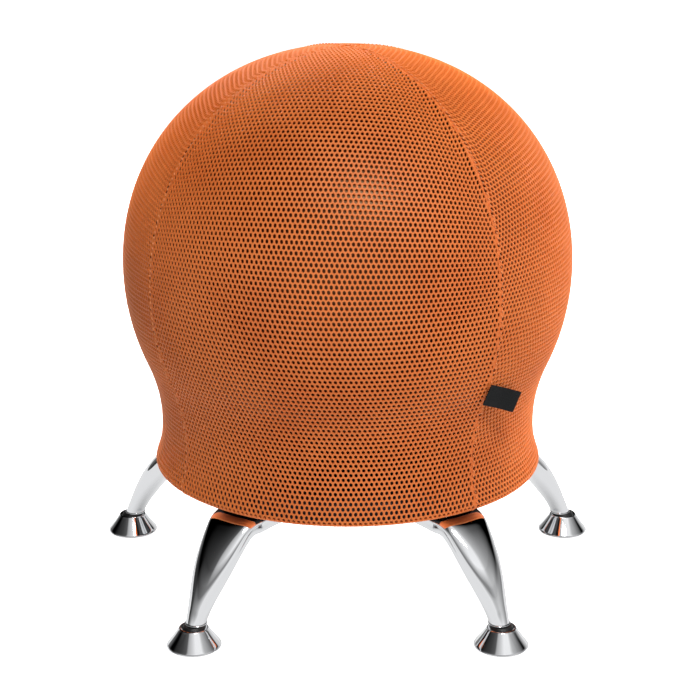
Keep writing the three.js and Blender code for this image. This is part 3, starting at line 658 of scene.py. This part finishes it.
def bounce_card(size):
    """White card that fades out from 0.27 m off its middle to 0.40 m, like the pool of light on a studio
    floor. Its middle lies 40 mm behind the chair's axis."""
    m = new_material("white card")
    place = add(m, "TexCoord").outputs["Object"]
    centred = add(m, "Mapping", {"Location": tuple(-AXIS - np.array([0, 0.04, 0]))}, Vector=place)
    reach = add(m, "VectorMath", {"operation": "LENGTH"}, Vector=centred).outputs["Value"]
    fade = add(m, "ValToRGB", stops=[(0.27, grey(1.0)), (0.40, grey(0.05))], blend="EASE", Fac=reach)
    glow = add(m, "Math", {"operation": "MULTIPLY", "1": size.card_glow}, _0=fade)
    add(m, "OutputMaterial", Surface=add(m, "Emission", Strength=glow))
    return m


def mirrored_floor(size):
    """The floor as the chrome mirrors it: evenly pale, darker within 70 mm of the feet that stand on it, as a
    painted contact shadow.
    """
    m = new_material("lit studio paper")
    # Painted contact shadow: ambient occlusion dims the glow close to the feet
    near = add(m, "AmbientOcclusion", {"Distance": 0.07, "samples": 8}).outputs["AO"]
    painted_contact_shadow = add(m, "ValToRGB", stops=[(0.3, grey(0.0)), (0.95, grey(1.0))], Fac=near)
    glow = add(m, "Math", {"operation": "MULTIPLY", "1": size.mirror_glow}, _0=painted_contact_shadow)
    add(m, "OutputMaterial", Surface=add(m, "Emission", Strength=glow))
    return m


# Operators


class BALLCHAIR_OT_camera(Operator):
    """Sets the camera where the photograph was taken from"""

    bl_idname = "ballchair.camera"
    bl_label = "Camera"

    def execute(self, context):
        size = context.scene.ball_chair_stage
        distance, height, looks_down = 1.855, 0.835, 17.58
        data = bpy.data.cameras.new("camera")
        data.lens = size.focal
        data.sensor_width = 36.0
        data.shift_x, data.shift_y = 0.0034, 0.0036
        data.clip_end = 60.0
        camera = bpy.data.objects.new("camera", data)
        camera.location = AXIS + np.array([0.0, -distance, height])
        camera.rotation_euler = (math.radians(90 - looks_down), 0.0, 0.0)
        context.scene.collection.objects.link(camera)
        context.scene.camera = camera
        return {"FINISHED"}


class BALLCHAIR_OT_stage(Operator):
    """Lays the floor, with the paper that rises round it and what the chrome mirrors, and sets the lights"""

    bl_idname = "ballchair.stage"
    bl_label = "Stage"

    def execute(self, context):
        size = context.scene.ball_chair_stage
        paper, card, mirrored = white_floor(size), bounce_card(size), mirrored_floor(size)
        rise = np.radians(np.linspace(5, 90, 12))
        edge = 26.0
        for name, radii, heights, material, unseen_by in (
            ("floor", (0.4, 2.0, 6.0, 14.0, edge), 0.0, paper, ("glossy", "diffuse")),
            ("backdrop", edge * np.sin(rise), edge * np.cos(rise), paper, ("glossy", "diffuse", "shadow")),
            ("bounce_card", (0.10, 0.20, 0.30, 0.40, 0.55), -0.0006, card, ("camera", "glossy", "shadow")),
            ("mirrored_floor", (0.4, 1.0, 2.0, 4.0), 0.0002, mirrored, ("camera", "diffuse", "shadow")),
        ):
            disc = self.disc(name, radii, heights, material)
            for rays in unseen_by:
                setattr(disc, "visible_" + rays, False)
        self.studio(context, size)
        self.lamps(context, size)
        context.scene.view_settings.view_transform = "Standard"
        return {"FINISHED"}

    def disc(self, name, radii, heights, material, sides=64):
        """Rings about the chair's axis, closed in the middle: a disc at one height, or a dome."""
        radii, heights = np.broadcast_arrays(np.array(radii), heights)
        turn = np.linspace(0, 2 * math.pi, sides, endpoint=False)
        points = polar(radii[:, None] / MM, turn, heights[:, None] / MM).reshape(-1, 3)
        points = np.vstack([points, AXIS + np.array([[0, 0, heights[0]]])])
        faces = grid_faces(len(radii), sides, flip=True)
        faces += [[len(points) - 1, (k + 1) % sides, k] for k in range(sides)]
        disc = mesh_piece(name, points, faces, material, smooth=False)
        return disc

    def studio(self, context, size):
        """The room round the chair, by direction: walls up to 10 degrees over the horizon, pale in front and
        dimmer at the sides and behind, dim ones over them, and from 30 degrees up one wide soft light in
        front, a little to the right, that fades towards both sides. The bands are added up."""
        world = bpy.data.worlds.new("studio")
        context.scene.world = world
        world.use_nodes = True
        world.node_tree.nodes.clear()
        split = add(world, "SeparateXYZ", Vector=add(world, "TexCoord").outputs["Generated"])
        x, y, z = (split.outputs[axis] for axis in "XYZ")
        ahead = add(world, "Math", {"operation": "MULTIPLY", "1": -1.0}, _0=y)
        azimuth = add(world, "Math", {"operation": "ARCTAN2"}, _0=x, _1=ahead)
        turn = add(world, "Math", {"operation": "MULTIPLY_ADD", "1": 0.5 / math.pi, "2": 0.5}, _0=azimuth)
        light = None
        for azimuths, heights in (WALLS, UPPER_WALLS, SOFT_LIGHT):
            stops = [(0.5 + degrees / 360, grey(value)) for degrees, value in azimuths]
            across = add(world, "ValToRGB", stops=stops, Fac=turn)
            up = add(world, "ValToRGB", stops=[(height, grey(share)) for height, share in heights], Fac=z)
            band = add(world, "Math", {"operation": "MULTIPLY"}, _0=across, _1=up)
            light = band if light is None else add(world, "Math", {"operation": "ADD"}, _0=light, _1=band)
        background = add(world, "Background", {"Strength": size.front_light}, Color=light)
        add(world, "OutputWorld", Surface=background)

    def lamps(self, context, size):
        """Large soft lamps round the chair: place in metres, share of the power, width, height, and whether
        it shows in the chrome, as only the softbox in front does."""
        target = AXIS + np.array([0, 0, 0.3])
        for name, place, power, wide, tall, mirrored in (
            ("key", (2.2, -0.3, 1.1), 0.21, 1.2, 1.4, False),
            ("softbox", (0.47, -1.72, 2.35), 0.64, 0.9, 0.6, True),
            ("rim", (1.8, 1.5, 0.9), 1.56, 0.9, 1.4, False),
            ("back", (-0.5, 1.9, 1.5), 2.41, 1.6, 1.2, False),
            ("overhead", (-0.3, 1.3, 2.4), 0.30, 1.4, 1.4, False),
        ):
            light = bpy.data.lights.new(name, "AREA")
            light.shape = "RECTANGLE"
            light.size, light.size_y = wide, tall
            light.energy = size.key_power * power
            lamp = bpy.data.objects.new(name, light)
            lamp.location = AXIS + np.array(place)
            heading = target - np.array(lamp.location)
            flat = math.hypot(heading[0], heading[1])
            lamp.rotation_euler = (math.atan2(flat, -heading[2]), 0.0, math.atan2(-heading[0], heading[1]))
            lamp.visible_glossy = mirrored
            context.scene.collection.objects.link(lamp)


class BALLCHAIR_OT_cover(Operator):
    """Knits the four gores of the cover, with their seams and hem"""

    bl_idname = "ballchair.cover"
    bl_label = "Mesh cover"

    def execute(self, context):
        size = context.scene.ball_chair_cover
        outline = Outline(size)
        knit = spacer_knit(size)
        for i, name in enumerate(GORE_NAMES):
            start = SEAM_AZIMUTHS[i]
            end = SEAM_AZIMUTHS[(i + 1) % 4] + (2 * math.pi if i == 3 else 0)
            gore = self.gore(name, gore_net(outline, size, (start + end) / 2, (end - start) / 2), knit)
            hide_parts("mesh_cover")
            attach(gore, "chair")
        self.hem(size)
        self.stitches(outline, size)
        return {"FINISHED"}

    def gore(self, name, net, knit):
        """Makes a gore from its net. A cell without a hole is two quads. Faces that lie flat on the seam are
        dropped, and so are points that no face uses."""
        points, quads, plain, fabric = net
        least_area = 2e-8
        faces = np.vstack([quads, plain[:, [0, 1, 2, 3]], plain[:, [3, 4, 5, 0]]])
        a, b, c, d = (points[faces[:, i]] for i in range(4))
        faces = faces[np.linalg.norm(np.cross(c - a, d - b), axis=1) / 2 > least_area]
        used, compact = np.unique(faces, return_inverse=True)
        faces = compact.reshape(faces.shape)[:, ::-1].tolist()
        piece = mesh_piece("cover_gore_" + name, points[used], faces, knit, edges_in=math.radians(50))
        lay_fabric(piece, fabric[used] * MM)
        return piece

    def hem(self, size):
        """The doubled hem, 2.6 mm thick: under the tray's rim and 8 mm up inside it."""
        r, bottom = size.flare_radius, size.hem_bottom
        inner, wall, rise = 197.0, 2.6, 8
        wall_in, wall_up = inner + wall, bottom + wall
        outside = np.vstack(
            [
                [[r - 3.0, bottom + 0.12], [r - 8, bottom - 0.05], [inner + 5, bottom + 0.1]],
                arc(wall_in, wall_up, wall, 270, 180, 6),
                [[inner, bottom + rise]],
            ]
        )
        inside = [[wall_in, bottom + rise], [wall_in, wall_up], [r - HEM_CORNER, wall_up]]
        piece = revolve("cover_hem", np.vstack([outside, inside])[::-1], hem_knit(size), sides=256)
        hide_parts("mesh_cover")
        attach(piece, "chair")

    def stitches(self, outline, size):
        """A row of short slanting stitches down one side of every seam. Each is a spindle of thread that bows
        out by a parabola, and a seam's stitches are one piece."""
        thread = sewing_thread()
        start, apart, half, bow, beside = 14.0, 5.6, 1.7, 0.55, 1.2
        s = np.arange(start, outline.fold, apart)
        spot, out = outline.at(s)[:, None, None], outline.normal(s)[:, None, None]
        ring = np.linspace(0, 2 * math.pi, 6, endpoint=False)
        t = np.array([-1.0, -0.55, 0.0, 0.55, 1.0])[:, None]
        thick = np.array([0.1, 0.5, 0.62, 0.5, 0.1])[:, None]
        along = half * t + 0 * ring
        downward, sideways, clear = 0.93, 0.45, 0.15
        down, across = along * downward, beside + along * sideways + thick * np.cos(ring)
        lift = bow * (1 - t**2) + thick * np.sin(ring) + clear
        radius = spot[..., 0] + down * out[..., 1] + lift * out[..., 0]
        height = spot[..., 1] - down * out[..., 0] + lift * out[..., 1]
        faces = []
        for first in range(0, len(s) * t.size * ring.size, t.size * ring.size):
            faces += grid_faces(t.size, ring.size, first=first)
            faces += [[first + m for m in range(5, -1, -1)], [first + m for m in range(24, 30)]]
        for i, seam in enumerate(SEAM_AZIMUTHS):
            points = polar(radius, seam + across / radius, height)
            piece = mesh_piece("seam_stitches_%d" % (i + 1), points, faces, thread)
            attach(piece, "chair")


class BALLCHAIR_OT_ball(Operator):
    """Blows up the ball inside the cover"""

    bl_idname = "ballchair.ball"
    bl_label = "Exercise ball"

    def execute(self, context):
        """The skin lies 3.3 mm under the cover's outside and is 2 mm thick. Both its faces run from the crown
        round to 1.4 degrees from the foot, where they meet round the valve's hole."""
        size = context.scene.ball_chair_cover
        vinyl = ball_vinyl(size)
        angles = np.radians(np.linspace(0, 178.6, 120))
        depth, wall, peak = 3.3, 2.0, 0.02
        outside, inside = (body_curve(size, angles, inset)[1:] for inset in (depth, depth + wall))
        line = np.vstack([[[0, outside[0, 1] + peak]], outside, inside[::-1], [[0, inside[0, 1] + peak]]])
        piece = revolve("ball_skin", line[::-1], vinyl, sides=160)
        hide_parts("exercise_ball")
        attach(piece, "chair")
        return {"FINISHED"}


class BALLCHAIR_OT_legs(Operator):
    """Bends the five chromed legs and fits their foot plugs"""

    bl_idname = "ballchair.legs"
    bl_label = "Legs"

    def execute(self, context):
        size, glide = context.scene.ball_chair_legs, context.scene.ball_chair_glides
        plating = chrome_plating("chromed steel tube", size.plating, 0.045)
        lip = chrome_plating("chromed plug", size.plating, 0.07)
        layers = zip(leg_surface(size, glide, 0.0), leg_surface(size, glide, size.wall))
        radius, side, height = (np.vstack([outer, inner[::-1]]) for outer, inner in layers)
        faces = grid_faces(len(radius), size.sides, True, True, flip=True)
        for name, azimuth in zip(LEG_NAMES, LEG_AZIMUTHS):
            points = in_leg(radius, side, height, azimuth)
            leg = mesh_piece("leg_tube_" + name, points, faces, plating, edges_in=math.radians(50))
            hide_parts("leg_" + name)
            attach(leg, "chair")
            self.plug(name, azimuth, size, glide, lip)
        return {"FINISHED"}

    def plug(self, name, azimuth, size, glide, lip):
        """The plug's body in the tube and its rounded flange under the tube's end: ovals stacked along the
        foot, each as (growth over the tube's oval, height over its end)."""
        ovals = ((-10.79, -1.8), (-0.5, -1.8), (0.3, -1.55), (0.7, -1.15), (0.75, -0.75), (0.5, -0.35))
        ovals += ((-2.8, -0.3), (-2.8, 20), (-10.79, 20))
        grow, level = np.array(ovals).T[..., None]
        end, lean = tube_end(size, glide), math.tan(LEG_TILT)
        turn = np.linspace(0, 2 * math.pi, size.sides, endpoint=False)
        radius = end[0] - level * lean + (FOOT_DEPTH / math.cos(LEG_TILT) + grow) * np.sin(turn)
        points = in_leg(radius, (FOOT_WIDTH + grow) * np.cos(turn), end[1] + level + 0 * turn, azimuth)
        faces = grid_faces(len(grow), size.sides)
        faces.append(list(range(size.sides - 1, -1, -1)))
        faces.append([(len(grow) - 1) * size.sides + k for k in range(size.sides)])
        piece = mesh_piece("foot_plug_" + name, points, faces, lip, edges_in=math.radians(50))
        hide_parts("leg_plug_" + name)
        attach(piece, "chair")


class BALLCHAIR_OT_glides(Operator):
    """Turns the cone glides, their balls and their pads"""

    bl_idname = "ballchair.glides"
    bl_label = "Glides"

    def execute(self, context):
        size, legs = context.scene.ball_chair_glides, context.scene.ball_chair_legs
        plating = chrome_plating("chromed cone", legs.plating, 0.05)
        nylon = moulded_plastic("moulded nylon", "#1A1A1B", "#0E0E0F", 0.5, 0.42)
        pad_nylon = moulded_plastic("moulded nylon pad", "#333335", "#242426", 0.7, 0.6)
        for name, azimuth in zip(LEG_NAMES, LEG_AZIMUTHS):
            centre = foot_place(azimuth, legs)
            self.cone(name, size, centre, plating)
            self.knuckle(name, size, centre, nylon)
            self.pad(name, centre, pad_nylon)
        return {"FINISHED"}

    def cone(self, name, size, centre, plating):
        """The cone: the pad's recess, a rounded foot rim, a flank that a sine makes slightly hollow, a lip
        and the ball's bore."""
        r, base, rim, lip, hollow = size.base_radius, 1.2, 0.8, 1.5, 0.3
        recess, ceiling, bore_radius = 25.7, 3.3, 14.5
        low = np.array([r - 0.15, base + 1.3])
        high = np.array([size.top_radius - 0.07, size.top - 1.0])
        t = np.linspace(0, 1, 14)[:, None]
        flank = low + (high - low) * t
        flank[:, 0] -= hollow * np.sin(math.pi * t[:, 0])
        bore_top = math.degrees(math.asin((size.top - 0.25 - size.pivot) / bore_radius))
        bore = arc(0, size.pivot, bore_radius, bore_top, -40.9, 14)
        outline = np.vstack(
            [
                [[0, ceiling], [recess, ceiling], [recess, base]],
                arc(r - rim, base + rim, rim, -90, 10, 6),
                flank[1:-1],
                arc(size.top_radius - lip, size.top - lip, lip, 20, 115, 10),
                bore,
                [[0, bore[-1, 1]]],
            ]
        )
        piece = revolve("glide_cone_" + name, outline, plating, size.sides, centre, math.radians(35))
        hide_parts("glide_cup_" + name)
        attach(piece, "glide_" + name)

    def knuckle(self, name, size, centre, nylon):
        """The moulded ball that the cone tilts on, 28 mm across, cut flat above and below."""
        ball = arc(0, size.pivot, 14.0, -32.4, 43.8, 20)
        outline = np.vstack([[[0, ball[0, 1]]], ball, [[0, ball[-1, 1]]]])
        piece = revolve("glide_ball_" + name, outline, nylon, 64, centre, math.radians(35))
        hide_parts("glide_knuckle_" + name)
        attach(piece, "chair")

    def pad(self, name, centre, nylon):
        """The pad: a disc with a rounded edge and a shallow ring groove in its underside."""
        outline = np.vstack(
            [
                [[0, 0], [16, 0], [16.5, 0.5], [18, 0.5], [18.5, 0], [24.4, 0]],
                arc(24.5, 0.9, 0.9, -80, 0, 5),
                [[25.4, 2.9], [0, 2.9]],
            ]
        )
        piece = revolve("glide_foot_" + name, outline, nylon, 64, centre, math.radians(35))
        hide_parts("glide_pad_" + name)
        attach(piece, "glide_" + name)


class BALLCHAIR_OT_label(Operator):
    """Sews the folded ribbon label into the side seam"""

    bl_idname = "ballchair.label"
    bl_label = "Side label"

    def seat(self, size):
        """Where the ribbon is sewn and which way it lies: along it, up its width, and out from the cover. It
        leans by 9 degrees about its length, droops by 21 and lies 7 degrees closer than a tangent."""
        height = size.equator - size.lower_rise * math.cos(math.radians(62)) + 23.5
        angle = math.acos((height - size.equator) / size.lower_rise)
        spot = body_curve(size, np.array([angle]))[0]
        lean, droop, turn = math.radians(9), math.radians(21), SEAM_AZIMUTHS[1] - math.radians(7)
        ways = self.turned(2, turn) @ self.turned(1, droop) @ self.turned(0, lean)
        start = polar(spot[0] + 4.2, SEAM_AZIMUTHS[1] - math.radians(0.9), spot[1])
        return start, ways[:, 0], ways[:, 2], -ways[:, 1]

    def turned(self, axis, angle):
        """The matrix of a turn about one axis."""
        matrix = np.eye(3)
        i, j = (axis + 1) % 3, (axis + 2) % 3
        matrix[i, i] = matrix[j, j] = math.cos(angle)
        matrix[i, j], matrix[j, i] = -math.sin(angle), math.sin(angle)
        return matrix

    def execute(self, context):
        """The ribbon is two layers that part towards the fold, lifted in a soft wave. A half circle joins
        them there, and all of it is carried over the ribbon's width."""
        start, along, up, out = self.seat(context.scene.ball_chair_cover)
        ribbon, half, thin = 0.0406, 0.0113, 0.00032
        fold_depth, seam_gap, fold_gap, bow, ripple = 0.0011, 0.00045, 0.00055, 0.0012, 0.00025
        s = np.linspace(0, ribbon - fold_depth, 24)
        swell = seam_gap + fold_gap * (s / s[-1]) ** 1.3
        bend = bow * np.sin(math.pi * s / s[-1]) ** 2
        fold = np.radians(np.linspace(-90, 90, 9))[1:-1]
        rows = np.linspace(-half, half, 13)[:, None]
        points, wave = [], None
        for inset in (0.0, thin):
            part = swell - inset
            run = np.concatenate([s, s[-1] + part[-1] * np.cos(fold), s[::-1]])
            lift = np.concatenate([bend - part, bend[-1] + part[-1] * np.sin(fold), (bend + part)[::-1]])
            if wave is None:
                wave = ripple * np.sin(rows / half * 2.2) * (run / run.max())
            flat = start + run[:, None] * along + rows[..., None] * up
            points.append(flat - (lift + wave)[..., None] * out)
        points = np.concatenate(points).reshape(-1, 3)
        count = len(run)
        first, last = len(rows) * count, (len(rows) - 1) * count
        faces = grid_faces(len(rows), count, False)
        faces += grid_faces(len(rows), count, False, first=first, flip=True)
        # Four edges, where the outer face meets the inner one
        k, m = np.arange(count - 1), np.arange(len(rows) - 1) * count
        e = m + count - 1
        for a, b in ((k + 1, k), (last + k, last + k + 1), (m, m + count), (e + count, e)):
            faces += np.stack([a, b, first + b, first + a], -1).tolist()
        piece = mesh_piece("label_ribbon", points, faces, woven_ribbon(), edges_in=math.radians(60))
        lay_fabric(piece, (points - start) @ np.stack([along, up], -1))
        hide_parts("side_label")
        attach(piece, "chair")
        return {"FINISHED"}


class BALLCHAIR_OT_underside(Operator):
    """Finishes the tray, ring plate, fasteners, elastic and valve that show from below"""

    bl_idname = "ballchair.underside"
    bl_label = "Underside"

    def execute(self, context):
        tray = moulded_plastic("moulded polypropylene", "#1F1F21", "#161617", 0.9, 0.5)
        valve = moulded_plastic("moulded polyethylene", "#2B2B2D", "#1D1D1F", 0.6, 0.45)
        elastic = moulded_plastic("braided elastic", "#26262A", "#18181B", 1.4, 0.85)
        steel = zinc_plate()
        coat = powder_coat()
        finishes = {
            "tray_plastic": (tray, 35),
            "valve_plastic": (valve, 35),
            "hem_elastic": (elastic, 80),
            "fastener_steel": (steel, 50),
            "plate_paint": (coat, 35),
        }
        slots = {part["node"]: part["material_slot"] for part in frame["record"]["subparts"]}
        for name, node in frame["nodes"].items():
            if slots[name] not in finishes:
                continue
            material, crease = finishes[slots[name]]
            mesh = node.data.copy()
            piece = bpy.data.objects.new("smooth_" + name, mesh)
            context.scene.collection.objects.link(piece)
            self.weld(mesh)
            mesh.shade_smooth()
            mesh.set_sharp_from_angle(angle=math.radians(crease))
            mesh.materials.clear()
            mesh.materials.append(material)
            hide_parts(name)
            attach(piece, node["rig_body"])
        return {"FINISHED"}

    def weld(self, mesh):
        """Joins the corners that lie within 2 microns of each other, so that faces share their normals."""
        co = np.zeros(len(mesh.vertices) * 3, np.float32)
        mesh.vertices.foreach_get("co", co)
        tris = np.zeros(len(mesh.polygons) * 3, np.int32)
        mesh.polygons.foreach_get("vertices", tris)
        co = co.reshape(-1, 3)
        places = np.round(co / 2e-6).astype(np.int64)
        _, first, back = np.unique(places, axis=0, return_index=True, return_inverse=True)
        faces = back.ravel()[tris.reshape(-1, 3)]
        good = (faces[:, 0] != faces[:, 1]) & (faces[:, 1] != faces[:, 2]) & (faces[:, 2] != faces[:, 0])
        mesh.clear_geometry()
        mesh.from_pydata(co[first].tolist(), [], faces[good].tolist())
        mesh.update()


class BALLCHAIR_PT_panel(Panel):
    """Lists the pieces of the chair"""

    bl_label = "Ball chair"
    bl_space_type = "VIEW_3D"
    bl_region_type = "UI"
    bl_category = "Ball chair"

    def draw(self, context):
        for operator in OPERATORS:
            self.layout.operator(operator.bl_idname)


OPERATORS = (
    BALLCHAIR_OT_camera,
    BALLCHAIR_OT_ball,
    BALLCHAIR_OT_cover,
    BALLCHAIR_OT_label,
    BALLCHAIR_OT_legs,
    BALLCHAIR_OT_glides,
    BALLCHAIR_OT_underside,
    BALLCHAIR_OT_stage,
)
SETTINGS = {
    "ball_chair_cover": BallChairCover,
    "ball_chair_legs": BallChairLegs,
    "ball_chair_glides": BallChairGlides,
    "ball_chair_stage": BallChairStage,
}


def register():
    for group in SETTINGS.values():
        bpy.utils.register_class(group)
    for name, group in SETTINGS.items():
        setattr(bpy.types.Scene, name, PointerProperty(type=group))
    for operator in OPERATORS:
        bpy.utils.register_class(operator)
    bpy.utils.register_class(BALLCHAIR_PT_panel)


def unregister():
    bpy.utils.unregister_class(BALLCHAIR_PT_panel)
    for operator in reversed(OPERATORS):
        bpy.utils.unregister_class(operator)
    for name in SETTINGS:
        delattr(bpy.types.Scene, name)
    for group in reversed(SETTINGS.values()):
        bpy.utils.unregister_class(group)


def main():
    register()
    bpy.ops.ballchair.camera()
    bpy.ops.ballchair.ball()
    bpy.ops.ballchair.cover()
    bpy.ops.ballchair.label()
    bpy.ops.ballchair.legs()
    bpy.ops.ballchair.glides()
    bpy.ops.ballchair.underside()
    bpy.ops.ballchair.stage()


if __name__ == "__main__":
    main()
